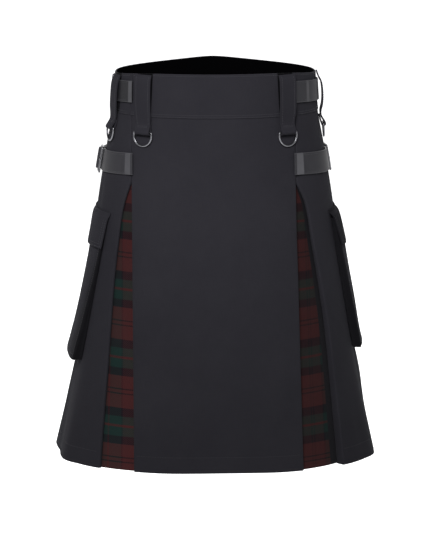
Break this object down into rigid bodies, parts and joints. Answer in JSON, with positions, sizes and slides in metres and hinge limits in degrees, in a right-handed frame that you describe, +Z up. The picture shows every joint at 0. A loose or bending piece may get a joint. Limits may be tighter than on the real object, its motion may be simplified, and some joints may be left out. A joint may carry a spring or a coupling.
{
  "type": "utility kilt",
  "caption": "Hollow wrap-around utility kilt in its worn shape: black cotton with tartan inserts in the pleats, leather side straps, cargo pockets and D-ring belt loops.",
  "frame": {"origin": "centre of the waist opening, level with the front of the waistband's top edge", "axes": "+Z up out of the waist, front of the apron toward -Y, +X to the right as the front is seen"},
  "size_m": [0.4878, 0.3838, 0.59],
  "materials": {
    "black_cotton": "matt black cotton twill, faintly slubbed",
    "tartan_cloth": "woven twill tartan in dark red, bottle green and navy black",
    "black_leather": "smooth black leather with a soft shine",
    "dark_metal": "dark nickel-plated wire, polished"
  },
  "bodies": {
    "kilt": {"waistband_front": "black_cotton", "waistband_back": "black_cotton", "apron": "black_cotton", "side_panel_left": "black_cotton", "side_panel_right": "black_cotton", "back_panel_1": "black_cotton", "back_panel_2": "black_cotton", "back_panel_3": "black_cotton", "back_panel_4": "black_cotton", "back_panel_5": "black_cotton", "pocket_left": "black_cotton", "pocket_right": "black_cotton", "pocket_flap_left": "black_cotton", "pocket_flap_right": "black_cotton", "belt_loop_front_left": "black_cotton", "belt_loop_front_right": "black_cotton", "belt_loop_side_left": "black_cotton", "belt_loop_side_right": "black_cotton", "belt_loop_back_left": "black_cotton", "belt_loop_back_right": "black_cotton", "front_insert_left": "tartan_cloth", "front_insert_right": "tartan_cloth", "back_insert_right_outer": "tartan_cloth", "back_insert_right_middle": "tartan_cloth", "back_insert_right_inner": "tartan_cloth", "back_insert_left_inner": "tartan_cloth", "back_insert_left_middle": "tartan_cloth", "back_insert_left_outer": "tartan_cloth", "strap_upper_left": "black_leather", "strap_upper_right": "black_leather", "strap_lower_left": "black_leather", "strap_lower_right": "black_leather", "buckle_strap_upper_left": "black_leather", "buckle_strap_upper_right": "black_leather", "buckle_strap_lower_left": "black_leather", "buckle_strap_lower_right": "black_leather", "buckle_upper_left": "dark_metal", "buckle_upper_right": "dark_metal", "buckle_lower_left": "dark_metal", "buckle_lower_right": "dark_metal"},
    "ring_front_left": {"d_ring_front_left": "dark_metal"},
    "ring_front_right": {"d_ring_front_right": "dark_metal"},
    "ring_side_left": {"d_ring_side_left": "dark_metal"},
    "ring_side_right": {"d_ring_side_right": "dark_metal"}
  },
  "joints": [
    {"name": "ring_front_left_swing", "type": "hinge", "parent": "kilt", "child": "ring_front_left", "pos_m": [-0.11194, -0.09845, -0.088], "axis": [-0.8174, 0.5761, 0], "range_deg": [0, 150]},
    {"name": "ring_front_right_swing", "type": "hinge", "parent": "kilt", "child": "ring_front_right", "pos_m": [0.10466, -0.103, -0.088], "axis": [-0.8526, -0.5226, 0], "range_deg": [0, 150]},
    {"name": "ring_side_left_swing", "type": "hinge", "parent": "kilt", "child": "ring_side_left", "pos_m": [-0.15938, -0.03497, -0.088], "axis": [-0.2797, 0.9601, 0], "range_deg": [0, 150]},
    {"name": "ring_side_right_swing", "type": "hinge", "parent": "kilt", "child": "ring_side_right", "pos_m": [0.16375, -0.00202, -0.088], "axis": [-0.013, -0.9999, 0], "range_deg": [0, 150]}
  ]
}
